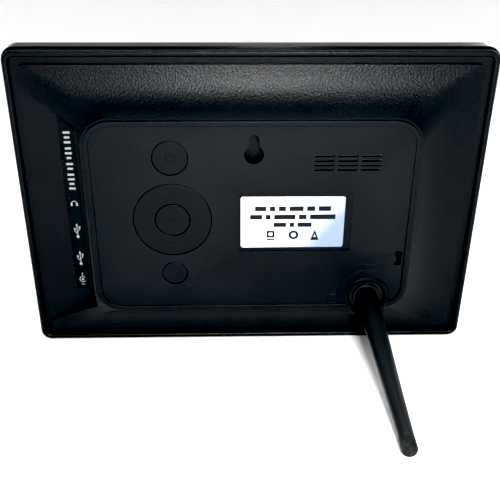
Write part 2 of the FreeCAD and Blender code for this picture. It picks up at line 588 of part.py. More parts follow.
def is_hub_mouth(edge):
    """True for the circle where the hub's recess opens through the top of its ring."""
    limits = edge.BoundBox
    at_top = abs(limits.ZMin - value("hub_ring_level")) < 0.001
    return at_top and abs(limits.XLength - 2 * value("hub_recess_radius")) < 0.01


def make_cover_trim():
    pad(new_body("port_label_strip"), "ledge_level - strip_thickness", "strip_thickness",
        box("strip_x", "strip_y", "strip_width", "strip_length"))
    pad(new_body("rating_label"), "plateau_level - label_recess_depth", "label_thickness",
        rounded("label_x", "label_y", "label_width", "label_height", "label_corner"))
    plate = new_body("lock_slot_plate")
    pad(plate, f"{CEILING} - lock_plate_thickness", "lock_plate_thickness",
        box("lock_x - lock_plate_shift", "lock_y", "lock_plate_width", "lock_plate_height"))
    cut(plate, f"{CEILING} - lock_plate_thickness", "lock_plate_thickness",
        rounded("lock_x", "lock_y", "lock_width", "lock_height", "lock_corner"))


# ---- boards, chips and sockets ------------------------------------------------------------------

def make_main_board():
    body = new_body("main_board")
    pad(body, "board_level", "board_thickness",
        box("(board_left + board_right)/2", "0", "board_right - board_left", "2*board_half_height"))
    cut(body, "board_level", "board_thickness", *screw_holes(BOARD_SCREWS))


def make_screws(label, screws, head_level, shank_top):
    """Pan-head screws driven towards the back, in one node."""
    body = new_body(label)
    pad(body, f"{head_level} - screw_head_height", "screw_head_height",
        *[circle(x, y, "screw_head_radius") for x, y in screws])
    pad(body, head_level, f"{shank_top} - ({head_level})",
        *[circle(x, y, "pilot_radius - thread_gap") for x, y in screws])


def make_board_parts():
    pad(new_body("main_chip"), BOARD_TOP, "chip_height", box("chip_x", "chip_y", "chip_size", "chip_size"))
    pad(new_body("memory_chips"), BOARD_TOP, "memory_height",
        *[box(f"chip_x + {side}*memory_spread", "memory_y", "memory_width", "memory_length")
          for side in (-1, 1)])
    pad(new_body("filter_capacitors"), BOARD_TOP, "capacitor_height",
        *[circle(f"chip_x + {k}*capacitor_pitch", "capacitor_y", "capacitor_radius") for k in (-1, 0, 1)])
    pad(new_body("power_inductor"), BOARD_TOP, "inductor_height",
        rounded("inductor_x", "inductor_y", "inductor_size", "inductor_size", "inductor_corner"))


SHELL_FRONT = "(port_wall_x + socket_setback)"
INNER_FRONT = "(port_wall_x + cover_wall + socket_clearance)"


def make_shell(label, y, width, height, depth, front, side):
    """A folded steel socket shell, open towards the ledge and closed at its back."""
    body = new_body(label)
    axis = f"{BOARD_TOP} + socket_wall + ({height})/2"
    pad(body, front, f"{depth} + socket_wall",
        box(y, axis, f"{width} + 2*({side})", f"{height} + 2*socket_wall"), plane="YZ_Plane")
    cut(body, front, depth, box(y, axis, width, height), plane="YZ_Plane")
    return body


def make_insert(label, y, width, height, depth, tongue):
    """The moulded insert of a socket: a block at the back and a tongue that reaches forward."""
    body = new_body(label)
    axis = f"{BOARD_TOP} + socket_wall + ({height})/2"
    back = f"{SHELL_FRONT} + {depth} - insert_gap"
    pad(body, f"{back} - insert_block", "insert_block",
        box(y, axis, f"{width} - 2*insert_gap", f"{height} - 2*insert_gap"), plane="YZ_Plane")
    pad(body, f"{SHELL_FRONT} + tongue_setback", f"{depth} - insert_block - insert_gap - tongue_setback",
        box(y, axis, f"{width} - 2*tongue_side", tongue), plane="YZ_Plane")


def make_sockets():
    make_shell("card_slot", "card_y", "card_width", "card_height", "card_depth", INNER_FRONT, "card_side")
    for socket, tongue in (("host", "tongue_thickness"), ("device", "device_tongue")):
        mouth = (f"{socket}_y", f"{socket}_width", f"{socket}_height", f"{socket}_depth")
        make_shell(f"usb_{socket}_shell", *mouth, SHELL_FRONT, "socket_wall")
        make_insert(f"usb_{socket}_insert", *mouth, tongue)
    make_headphone_jack()
    make_power_jack()


def make_headphone_jack():
    body = new_body("headphone_jack")
    axis = f"{BOARD_TOP} + phone_axis"
    pad(body, INNER_FRONT, "phone_length - cover_wall",
        box("phone_y", f"{BOARD_TOP} + phone_height/2", "phone_width", "phone_height"), plane="YZ_Plane")
    pad(body, SHELL_FRONT, f"{INNER_FRONT} - {SHELL_FRONT} + phone_nose_root",
        circle("phone_y", axis, "phone_nose_radius"), plane="YZ_Plane")
    cut(body, SHELL_FRONT, "phone_length - phone_floor", circle("phone_y", axis, "phone_radius"),
        plane="YZ_Plane")


def make_power_jack():
    body = new_body("dc_jack")
    axis = f"{BOARD_TOP} + power_jack_height/2"
    pad(body, INNER_FRONT, "power_jack_depth",
        box("power_jack_y", axis, "power_jack_width", "power_jack_height"), plane="YZ_Plane")
    cut(body, INNER_FRONT, "power_jack_depth - power_jack_floor",
        circle("power_jack_y", axis, "power_jack_radius"), plane="YZ_Plane")
    pin = new_body("dc_jack_pin")
    pad(pin, f"{INNER_FRONT} + pin_setback", "power_jack_depth - power_jack_floor - pin_setback",
        circle("power_jack_y", axis, "power_jack_pin"), plane="YZ_Plane")
    front = value(f"{INNER_FRONT} + pin_setback + sliver")
    round_edges(pin, "pin_round", lambda edge: edge.BoundBox.XMax < front)


# ---- keys ---------------------------------------------------------------------------------------

ROUND_KEY_SPOTS = ["power_y", "ring_y", "return_y"]
RING_SWITCHES = [("key_x - switch_radius", "ring_y"), ("key_x + switch_radius", "ring_y"),
                 ("key_x", "ring_y - switch_radius"), ("key_x", "ring_y + switch_radius")]
ALL_SWITCHES = [("key_x", y) for y in ROUND_KEY_SPOTS] + RING_SWITCHES
PLUNGER_BOTTOM = f"({KEY_BOARD_TOP} + plunger_root)"


def make_key_board():
    body = new_body("key_board")
    pad(body, "key_board_level", "key_board_thickness",
        box("key_x", "(key_board_top + key_board_bottom)/2", "key_board_width",
            "key_board_top - key_board_bottom"))
    pad(body, "key_board_level", "key_board_thickness",
        box("key_x", "ring_y", "key_board_arm", "key_board_arm_height"))
    cut(body, "key_board_level", "key_board_thickness", *screw_holes(KEY_SCREWS))
    pad(new_body("key_header"), BOARD_TOP, f"key_board_level - {BOARD_TOP}",
        box("key_x", "header_y", "header_width", "header_height"))


def make_key_switches():
    body = new_body("key_switches")
    pad(body, KEY_BOARD_TOP, "switch_height",
        *[box(x, y, "switch_size", "switch_size") for x, y in ALL_SWITCHES])
    cut(body, f"{KEY_BOARD_TOP} + switch_floor", "switch_height",
        *[circle(x, y, "switch_bore") for x, y in ALL_SWITCHES])
    for label, y, top in (("power_plunger", "power_y", "key_stem_bottom"),
                          ("ok_plunger", "ring_y", "ok_bottom"),
                          ("return_plunger", "return_y", "key_stem_bottom")):
        pad(new_body(label), PLUNGER_BOTTOM, f"{top} - {PLUNGER_BOTTOM}",
            circle("key_x", y, "plunger_radius"))
    pad(new_body("ring_plungers"), PLUNGER_BOTTOM, f"ring_plunger_top - {PLUNGER_BOTTOM}",
        *[circle(x, y, "plunger_radius") for x, y in RING_SWITCHES])


def make_round_key(label, y, hole):
    """A round key cap with a flange that keeps it in its hole and a stem over its switch."""
    body = new_body(label)
    pad(body, "key_bottom", "plateau_level - key_bottom", circle("key_x", y, f"{hole} - key_gap"))
    round_edges(body, "key_edge_round", flat_at("plateau_level"))
    pad(body, "key_bottom", "key_flange_top - key_bottom", circle("key_x", y, f"{hole} + key_flange"))
    pad(body, "key_stem_bottom", "key_bottom - key_stem_bottom", circle("key_x", y, "key_stem_radius"))


def make_direction_keys():
    ring = new_body("direction_ring")
    pad(ring, "ring_bottom", "plateau_level - ring_bottom",
        circle("key_x", "ring_y", "ring_hole - key_gap"), circle("key_x", "ring_y", "ok_hole"))
    round_edges(ring, "key_edge_round", flat_at("plateau_level"))
    pad(ring, "ring_bottom", "ring_flange_top - ring_bottom",
        circle("key_x", "ring_y", "ring_hole + key_flange"), circle("key_x", "ring_y", "ok_hole"))
    pad(new_body("ring_web"), "web_bottom", "web_thickness",
        circle("key_x", "ring_y", "web_outer"), circle("key_x", "ring_y", "web_inner"))
    ok_key = new_body("ok_button")
    pad(ok_key, "ok_bottom", "plateau_level - ok_bottom", circle("key_x", "ring_y", "ok_hole - key_gap"))
    round_edges(ok_key, "key_edge_round", flat_at("plateau_level"))
    pad(ok_key, "ok_bottom", "ok_flange_top - ok_bottom",
        circle("key_x", "ring_y", "ok_hole + ok_flange"))


# ---- speaker --------------------------------------------------------------------------------------

def make_speaker():
    outline = rounded("speaker_x", "speaker_y", "speaker_width", "speaker_height", "speaker_corner")
    opening = rounded("speaker_x", "speaker_y", "speaker_width - 2*speaker_frame",
                      "speaker_height - 2*speaker_frame", "speaker_corner - speaker_frame")
    bottom = f"{CEILING} - speaker_depth"
    basket = new_body("speaker_basket")
    pad(basket, bottom, "speaker_depth", outline)
    cut(basket, f"{bottom} + basket_floor", "speaker_depth", opening)
    cone = new_body("speaker_cone")
    pad(cone, f"{bottom} + cone_rise", "cone_thickness",
        rounded("speaker_x", "speaker_y", "speaker_width - 2*(speaker_frame + cone_gap)",
                "speaker_height - 2*(speaker_frame + cone_gap)", "speaker_corner - speaker_frame - cone_gap"))
    pad(new_body("speaker_magnet"), f"{bottom} - magnet_height", "magnet_height",
        circle("speaker_x", "speaker_y", "magnet_radius"))
    make_speaker_lead(bottom)


def make_speaker_lead(bottom):
    """A flat two-core lead from the speaker's side down to the main board."""
    start, end = "speaker_x - speaker_width/2", "board_right - lead_landing"
    high, low = f"({bottom}) + lead_rise", f"{BOARD_TOP} + lead_gap"
    lower = [(start, high), (f"{start} - lead_run", high), (f"{end} + lead_run", low), (end, low)]
    upper = [(x, f"{level} + lead_thickness") for x, level in reversed(lower)]
    pad(new_body("speaker_lead"), "-(speaker_y - lead_drop)", "lead_width", polygon(lower + upper),
        plane="XZ_Plane")


# ---- stand ----------------------------------------------------------------------------------------

def make_swivel():
    hub = new_body("swivel_hub")
    web_bottom = "(hub_floor_level - hub_web)"
    disc_level = "(hub_floor_level + hub_float)"
    shaft_bottom = f"({web_bottom} - hub_float)"
    pad(hub, disc_level, f"hub_disc_top - {disc_level}",
        circle("hub_x", "hub_y", "hub_recess_radius - hub_gap"))
    round_edges(hub, "hub_disc_round", flat_at("hub_disc_top"))
    pad(hub, shaft_bottom, f"{disc_level} - {shaft_bottom}",
        circle("hub_x", "hub_y", "pivot_bore - pivot_gap"))
    pad(hub, "hub_disc_top", "hub_collar_top - hub_disc_top", circle("hub_x", "hub_y", "hub_collar_radius"))
    round_edges(hub, "hub_collar_round", flat_at("hub_collar_top"))
    pad(hub, "hub_disc_top - pointer_sink", "pointer_height", polygon([
        ("hub_x - pointer_width/2", "hub_y + hub_collar_radius - pointer_root"),
        ("hub_x + pointer_width/2", "hub_y + hub_collar_radius - pointer_root"),
        ("hub_x", "hub_y + pointer_reach")]))
    cut(hub, shaft_bottom, "swivel_screw_depth", circle("hub_x", "hub_y", "swivel_screw_radius"))
    cut(hub, "stud_root_level", "plateau_level", circle("hub_x", "hub_y", "stud_radius + stud_side_gap"))
    washer = new_body("swivel_washer")
    washer_level = f"{shaft_bottom} - swivel_washer_thickness"
    pad(washer, washer_level, "swivel_washer_thickness",
        circle("hub_x", "hub_y", "swivel_washer_radius"),
        circle("hub_x", "hub_y", "swivel_screw_radius + hole_gap"))
    screw = new_body("swivel_screw")
    pad(screw, f"{washer_level} - swivel_head_height", "swivel_head_height",
        circle("hub_x", "hub_y", "swivel_head_radius"))
    pad(screw, washer_level, "swivel_washer_thickness + swivel_screw_depth - swivel_screw_slack",
        circle("hub_x", "hub_y", "swivel_screw_radius - thread_gap"))


def make_leg():
    """The leg's pieces, drawn along the leg's own axis from its root face."""
    leg = new_body("stand_leg")
    end = "(leg_length - tip_length)"
    revolve(leg, [("0", "0"), ("leg_root_radius", "0"), ("leg_root_radius", "leg_root_length"),
                  ("leg_knee_radius", "leg_knee"), ("leg_end_radius", end), ("0", end)])
    round_edges(leg, "leg_root_round", flat_at("0"))
    cut(leg, "0", "insert_top", circle("0", "0", "insert_radius"))
    cut(leg, f"{end} - tip_peg_length", "tip_peg_length", circle("0", "0", "tip_peg_radius"))
    tip = new_body("leg_tip")
    pad(tip, end, "tip_length", circle("0", "0", "leg_end_radius"))
    round_edges(tip, "tip_round", flat_at("leg_length"))
    pad(tip, f"{end} - tip_peg_length + tip_peg_gap", "tip_peg_length - tip_peg_gap",
        circle("0", "0", "tip_peg_radius - thread_gap"))
    insert = new_body("leg_insert")
    pad(insert, "insert_setback", "insert_length", circle("0", "0", "insert_radius - thread_gap"),
        circle("0", "0", "stud_radius + thread_gap"))
    stud = new_body("stand_stud")
    pad(stud, "stud_root_level - leg_start + stud_root_gap", "stud_length", circle("0", "0", "stud_radius"))


LEG_PIECES = ("stand_leg", "leg_tip", "leg_insert", "stand_stud")


# ---- standing the frame up ------------------------------------------------------------------------

def leg_placement():
    """From the leg's own axis to the panel: at the hub, tilted down the panel."""
    base = FreeCAD.Vector(value("hub_x"), value("hub_y"), value("leg_start"))
    return FreeCAD.Placement(base, FreeCAD.Rotation(FreeCAD.Vector(1, 0, 0), value("leg_tilt")))


def lean_angle():
    """How far the panel leans back when the bezel's feet and the leg's tip all touch the ground."""
    ball = value("leg_length - tip_round")
    centre = leg_placement().multVec(FreeCAD.Vector(0, 0, ball))
    height = centre.y - value("frame_y - frame_height/2 - foot_rise")
    reach = centre.z + value("foot_setback")
    corner = value("leg_end_radius") - value("tip_round")
    radius = value("tip_round") + corner * math.cos(math.radians(value("leg_tilt")))
    return math.degrees(math.acos(radius / math.hypot(height, reach)) - math.atan2(reach, height))


def stand_up():
    """Places every sub-part: panel upright, screen towards -Y, leaned back, origin on the ground."""
    upright = FreeCAD.Placement(FreeCAD.Matrix(-1, 0, 0, 0, 0, 0, 1, 0, 0, 1, 0, 0, 0, 0, 0, 1))
    lean = FreeCAD.Placement(FreeCAD.Vector(), FreeCAD.Rotation(FreeCAD.Vector(1, 0, 0), -lean_angle()))
    turn = lean.multiply(upright)
    limits = FreeCAD.BoundBox()
    for label, body in BODIES.items():
        body.Placement = turn.multiply(leg_placement()) if label in LEG_PIECES else turn
        limits.add(body.Shape.optimalBoundingBox(False, False))
    centre = limits.Center
    shift = FreeCAD.Placement(FreeCAD.Vector(-centre.x, -centre.y, -limits.ZMin), FreeCAD.Rotation())
    for body in BODIES.values():
        body.Placement = shift.multiply(body.Placement)
    print("lean", lean_angle(), "shift", shift.Base, "box", limits)


def check_document():
    """Stops if any feature failed, any pocket cut nothing or any sub-part has a bad shape."""
    for thing in DOC.Objects:
        if "Invalid" in thing.State or "Error" in thing.State:
            raise RuntimeError(f"{thing.Name} failed")
        if thing.TypeId == "PartDesign::Pocket" and thing.BaseFeature.Shape.Volume - thing.Shape.Volume < 1e-4:
            raise RuntimeError(f"{thing.Name} cuts nothing")
    for label, body in BODIES.items():
        if body.Shape.isNull() or not body.Shape.isValid():
            raise RuntimeError(f"{label} has a bad shape")


def main():
    fill_sheet()
    make_front_bezel()
    make_bezel_feet()
    make_screen_window()
    make_display()
    make_lcd_fixings()
    make_display_ribbon()
    make_rear_cover()
    make_cover_trim()
    make_main_board()
    make_screws("board_screws", BOARD_SCREWS, "board_level", f"({BOARD_TOP} + screw_length)")
    make_board_parts()
    make_sockets()
    make_key_board()
    make_screws("key_board_screws", KEY_SCREWS, "key_board_level", f"({KEY_BOARD_TOP} + key_screw_reach)")
    make_key_switches()
    make_round_key("power_button", "power_y", "power_hole")
    make_round_key("return_button", "return_y", "return_hole")
    make_direction_keys()
    make_speaker()
    make_swivel()
    make_leg()
    DOC.recompute()
    stand_up()
    DOC.recompute()
    check_document()
    os.makedirs("parts", exist_ok=True)
    for label, body in BODIES.items():
        body.Shape.exportStep(f"parts/{label}.step")
    print(len(BODIES), "sub-parts written")


main()
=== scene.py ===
import json
import math

import bmesh
import bpy
from mathutils import Matrix, Vector


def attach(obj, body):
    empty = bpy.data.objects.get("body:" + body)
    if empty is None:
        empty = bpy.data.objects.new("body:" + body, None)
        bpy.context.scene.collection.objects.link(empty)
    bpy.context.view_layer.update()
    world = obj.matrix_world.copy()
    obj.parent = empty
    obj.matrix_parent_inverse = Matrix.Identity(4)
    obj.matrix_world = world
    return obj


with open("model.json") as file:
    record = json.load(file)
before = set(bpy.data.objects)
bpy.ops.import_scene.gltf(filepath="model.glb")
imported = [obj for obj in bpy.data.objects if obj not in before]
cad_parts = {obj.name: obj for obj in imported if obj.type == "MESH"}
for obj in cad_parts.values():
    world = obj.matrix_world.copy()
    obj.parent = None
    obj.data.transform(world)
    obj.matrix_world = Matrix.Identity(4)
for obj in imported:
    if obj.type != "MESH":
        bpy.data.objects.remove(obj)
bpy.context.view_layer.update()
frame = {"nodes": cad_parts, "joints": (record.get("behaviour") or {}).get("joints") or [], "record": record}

MM = 0.001
JOINTS = {joint["name"]: joint for joint in frame["joints"]}
NODES = frame["nodes"]

# ---- panel coordinates: x to the right as seen from behind, v up the panel, n out of the back ----

OUT = Vector(JOINTS["stand_swivel"]["axis"]).normalized()
UP = Vector(JOINTS["ring_tilt_sideways"]["axis"]).normalized()
RIGHT = Vector((-1.0, 0.0, 0.0))


def span(node, direction):
    """Least and greatest reach of a CAD node along a direction."""
    reach = [vertex.co.dot(direction) for vertex in NODES[node].data.vertices]
    return min(reach), max(reach)


def panel_origin():
    """The middle of the main board, brought to the plane where bezel and cover meet."""
    across = sum(span("rear_cover", RIGHT)) / 2
    along = sum(span("main_board", UP)) / 2
    return RIGHT * across + UP * along + OUT * span("rear_cover", OUT)[0]


ORIGIN = panel_origin()
PANEL = Matrix.Translation(ORIGIN) @ Matrix((
    (RIGHT.x, UP.x, OUT.x, 0), (RIGHT.y, UP.y, OUT.y, 0), (RIGHT.z, UP.z, OUT.z, 0), (0, 0, 0, 1)))


def panel(x, v, n):
    """A point given in millimetres on the panel, in the frame's own metres."""
    return PANEL @ Vector((x * MM, v * MM, n * MM))


def level(node, end=1):
    """Where a node's front (0) or back (1) face lies, in millimetres out of the panel."""
    return (span(node, OUT)[end] - ORIGIN.dot(OUT)) / MM


def middle(node):
    """A node's middle on the panel, in millimetres."""
    return [(sum(span(node, direction)) / 2 - ORIGIN.dot(direction)) / MM for direction in (RIGHT, UP)]


def spot(node):
    """A node's middle on the panel, as a point in the frame."""
    return panel(*middle(node), 0)


# ---- materials -------------------------------------------------------------------------------

def new_material(name, roughness=0.5, specular=0.5, metallic=0.0):
    """A material with a Principled shader whose uniform values sit on its own sockets."""
    material = bpy.data.materials.new(name)
    material.use_nodes = True
    shader = material.node_tree.nodes["Principled BSDF"]
    shader.inputs["Roughness"].default_value = roughness
    shader.inputs["Specular IOR Level"].default_value = specular
    shader.inputs["Metallic"].default_value = metallic
    return material


EDGE_POINTINESS = (0.53, 0.62)  # Pointiness where an edge starts to count and counts in full


class Nodes:
    """Short calls for one material's node tree."""

    def __init__(self, material):
        self.tree = material.node_tree
        self.shader = self.tree.nodes["Principled BSDF"]
        self.place = self.add("ShaderNodeTexCoord").outputs["Object"]

    def add(self, kind):
        return self.tree.nodes.new(kind)

    def link(self, source, target):
        self.tree.links.new(source, target)

    def noise(self, size, detail=3.0, roughness=0.55, stretch=None):
        """Noise whose blobs are about size metres across; stretch scales its axes."""
        node = self.add("ShaderNodeTexNoise")
        node.inputs["Scale"].default_value = 1.0 / size
        node.inputs["Detail"].default_value = detail
        node.inputs["Roughness"].default_value = roughness
        source = self.place
        if stretch:
            mapping = self.add("ShaderNodeMapping")
            mapping.inputs["Scale"].default_value = stretch
            self.link(source, mapping.inputs["Vector"])
            source = mapping.outputs["Vector"]
        self.link(source, node.inputs["Vector"])
        return node.outputs["Fac"]

    def cells(self, size, feature="F1"):
        """Voronoi cells about size metres across."""
        node = self.add("ShaderNodeTexVoronoi")
        node.feature = feature
        node.inputs["Scale"].default_value = 1.0 / size
        self.link(self.place, node.inputs["Vector"])
        return node.outputs["Distance"]

    def ramp(self, source, low, high, from_low=0.3, from_high=0.7):
        """Spreads a value between two numbers."""
        node = self.add("ShaderNodeMapRange")
        node.inputs["From Min"].default_value = from_low
        node.inputs["From Max"].default_value = from_high
        node.inputs["To Min"].default_value = low
        node.inputs["To Max"].default_value = high
        self.link(source, node.inputs["Value"])
        return node.outputs["Result"]

    def blend(self, share, first, second):
        """Mixes two colours, or a colour and another node's colour, by a share."""
        node = self.add("ShaderNodeMix")
        node.data_type = "RGBA"
        self.link(share, node.inputs["Factor"])
        for socket, colour in ((node.inputs[6], first), (node.inputs[7], second)):
            if isinstance(colour, bpy.types.NodeSocket):
                self.link(colour, socket)
            else:
                socket.default_value = (*colour, 1.0)
        return node.outputs[2]

    def maths(self, operation, first, second):
        """One arithmetic step on two numbers or sockets."""
        node = self.add("ShaderNodeMath")
        node.operation = operation
        for socket, number in zip(node.inputs, (first, second)):
            if isinstance(number, bpy.types.NodeSocket):
                self.link(number, socket)
            else:
                socket.default_value = number
        return node.outputs["Value"]

    def along(self, direction, origin):
        """How far a point lies along a direction from a place, in metres."""
        node = self.add("ShaderNodeVectorMath")
        node.operation = "DOT_PRODUCT"
        self.link(self.place, node.inputs[0])
        node.inputs[1].default_value = direction
        return self.maths("SUBTRACT", node.outputs["Value"], origin.dot(direction))

    def edges(self):
        """1 on convex edges, 0 elsewhere."""
        node = self.add("ShaderNodeNewGeometry")
        return self.ramp(node.outputs["Pointiness"], 0.0, 1.0, *EDGE_POINTINESS)

    def bump(self, height, depth, under=None):
        """A normal for a height, at a depth in metres, on top of another normal if one is given."""
        node = self.add("ShaderNodeBump")
        node.inputs["Distance"].default_value = depth
        node.inputs["Strength"].default_value = 1.0
        self.link(height, node.inputs["Height"])
        if under:
            self.link(under, node.inputs["Normal"])
        return node.outputs["Normal"]

    def finish(self, colour, roughness=None, normal=None):
        """Links the finished colour, roughness and normal to the shader."""
        for name, source in (("Base Color", colour), ("Roughness", roughness), ("Normal", normal)):
            if source:
                self.link(source, self.shader.inputs[name])


def moulded_plastic(name, dark, light, roughness, grain, depth, specular=0.055, edge_wear_and_highlight=0.3):
    """Moulded plastic with a spark-eroded grain, cloudy tone, and convex edges made paler: partly edge wear,
    partly a painted edge highlight.
    """
    material = new_material(name, specular=specular)
    nodes = Nodes(material)
    cloud = nodes.noise(0.03, 4.0)
    speckle = nodes.noise(grain, 2.0, 0.7)
    colour = nodes.blend(nodes.ramp(cloud, 0.0, 1.0), dark, light)
    # Paler convex edges: partly edge wear, partly a painted highlight where edges catch the light.
    worn_and_highlit_edges = nodes.blend(nodes.maths("MULTIPLY", nodes.edges(), edge_wear_and_highlight), colour,
                         tuple(min(1.0, channel * 1.8 + 0.003) for channel in light))
    rough = nodes.maths("ADD", nodes.ramp(cloud, roughness - 0.04, roughness + 0.04),
                        nodes.ramp(speckle, -0.08, 0.08))
    coarse = nodes.bump(nodes.cells(grain * 1.6), depth * 0.6)
    nodes.finish(worn_and_highlit_edges, rough, nodes.bump(speckle, depth, under=coarse))
    return material


def gloss_plastic(name, dark, light, roughness=0.12, specular=0.04):
    """Polished moulding: faint orange peel, fine hairlines and a little dust in the gloss."""
    material = new_material(name, specular=specular)
    nodes = Nodes(material)
    cloud = nodes.noise(0.04, 3.0)
    hairline = nodes.noise(0.0006, 2.0, 0.5, stretch=(0.04, 1.0, 1.0))
    dust = nodes.ramp(nodes.noise(0.0012, 2.0), 0.0, 0.1, 0.62, 0.75)
    rough = nodes.maths("ADD", nodes.ramp(hairline, roughness - 0.03, roughness + 0.05), dust)
    peel = nodes.bump(nodes.noise(0.004, 1.0), 0.000004)
    nodes.finish(nodes.blend(nodes.ramp(cloud, 0.0, 1.0), dark, light), rough,
                 nodes.bump(hairline, 0.0000015, under=peel))
    return material


def metal(name, dark, light, roughness):
    """Plated or drawn sheet metal with rolling lines and a few dull spots."""
    material = new_material(name, metallic=1.0)
    nodes = Nodes(material)
    grain = nodes.noise(0.0005, 3.0, 0.6, stretch=(0.05, 1.0, 1.0))
    spots = nodes.noise(0.006, 4.0)
    nodes.finish(nodes.blend(nodes.ramp(spots, 0.0, 1.0), dark, light),
                 nodes.maths("ADD", nodes.ramp(grain, roughness - 0.06, roughness + 0.08),
                             nodes.ramp(spots, 0.0, 0.08)),
                 nodes.bump(grain, 0.000003))
    return material


def rubber(name, dark, light):
    """Worn rubber: fine pores and paler scuffs."""
    material = new_material(name, specular=0.12)
    nodes = Nodes(material)
    pores = nodes.noise(0.0005, 4.0, 0.7)
    scuffs = nodes.ramp(nodes.noise(0.0025, 4.0), 0.0, 1.0, 0.45, 0.7)
    nodes.finish(nodes.blend(scuffs, dark, light), nodes.ramp(pores, 0.6, 0.85),
                 nodes.bump(pores, 0.00006))
    return material


def label_film(name):
    """White polyester film, with a faint bluish sheen painted into its colour that deepens to one side."""
    material = new_material(name, roughness=0.3, specular=0.45)
    nodes = Nodes(material)
    centre = spot("rating_label")
    slant = nodes.maths("SUBTRACT", nodes.along(RIGHT, centre),
                        nodes.maths("MULTIPLY", nodes.along(UP, centre), 0.8))
    waves = nodes.maths("MULTIPLY", nodes.noise(0.012, 2.0), 0.008)
    # Mask of the painted sheen: a painted reflection that grows along a slant across the film.
    sheen = nodes.ramp(nodes.maths("ADD", slant, waves), 0.0, 1.0, -0.006, 0.024)
    fibre = nodes.noise(0.0006, 3.0)
    paper = nodes.blend(nodes.ramp(fibre, 0.0, 1.0), (0.5, 0.51, 0.52), (0.54, 0.55, 0.56))
    # The film's colour blends towards a painted bluish reflection where the mask is high.
    nodes.finish(nodes.blend(sheen, paper, (0.11, 0.145, 0.21)), nodes.ramp(fibre, 0.25, 0.38),
                 nodes.bump(fibre, 0.000004))
    return material


def ink(name, colour):
    """Printed ink: nearly flat, with small gaps and a slightly uneven sheen."""
    material = new_material(name, specular=0.05)
    nodes = Nodes(material)
    print_grain = nodes.noise(0.0003, 3.0, 0.6)
    pale = tuple(channel * 1.4 for channel in colour)
    nodes.finish(nodes.blend(nodes.ramp(print_grain, 0.0, 1.0), colour, pale),
                 nodes.ramp(print_grain, 0.35, 0.55), nodes.bump(print_grain, 0.000003))
    return material


FRAME_RIM_SIDE = 0.00525  # how far the LCD frame covers the display at each side, in metres
FRAME_RIM_TOP = 0.00625  # and at its top and bottom


def pane_acrylic(name):
    """The front pane: a black border printed behind acrylic, and the dark display in its middle."""
    material = new_material(name, specular=0.2)
    nodes = Nodes(material)
    centre = spot("lcd_front_frame")
    inside = []
    for direction, rim in ((RIGHT, FRAME_RIM_SIDE), (UP, FRAME_RIM_TOP)):
        low, high = span("lcd_front_frame", direction)
        distance = nodes.maths("ABSOLUTE", nodes.along(direction, centre), 0.0)
        inside.append(nodes.maths("LESS_THAN", distance, (high - low) / 2 - rim))
    view = nodes.maths("MULTIPLY", *inside)
    smears = nodes.noise(0.035, 5.0, 0.6, stretch=(1.0, 1.0, 0.6))
    border = nodes.blend(nodes.ramp(smears, 0.0, 1.0),
                         (0.004, 0.004, 0.005), (0.007, 0.007, 0.008))
    display = nodes.blend(nodes.ramp(smears, 0.0, 1.0),
                          (0.012, 0.014, 0.018), (0.017, 0.019, 0.024))
    nodes.finish(nodes.blend(view, border, display), nodes.ramp(smears, 0.07, 0.11, 0.0, 1.0),
                 nodes.bump(nodes.noise(0.02, 1.0), 0.000004))
    return material


def circuit_board(name):
    """Solder mask with faint tracks under it."""
    material = new_material(name, specular=0.45)
    nodes = Nodes(material)
    tracks = nodes.ramp(nodes.cells(0.003, "DISTANCE_TO_EDGE"), 1.0, 0.0, 0.02, 0.06)
    weave = nodes.noise(0.0008, 3.0)
    nodes.finish(nodes.blend(tracks, (0.006, 0.07, 0.025), (0.012, 0.12, 0.045)),
                 nodes.ramp(weave, 0.3, 0.45), nodes.bump(tracks, 0.00002))
    return material


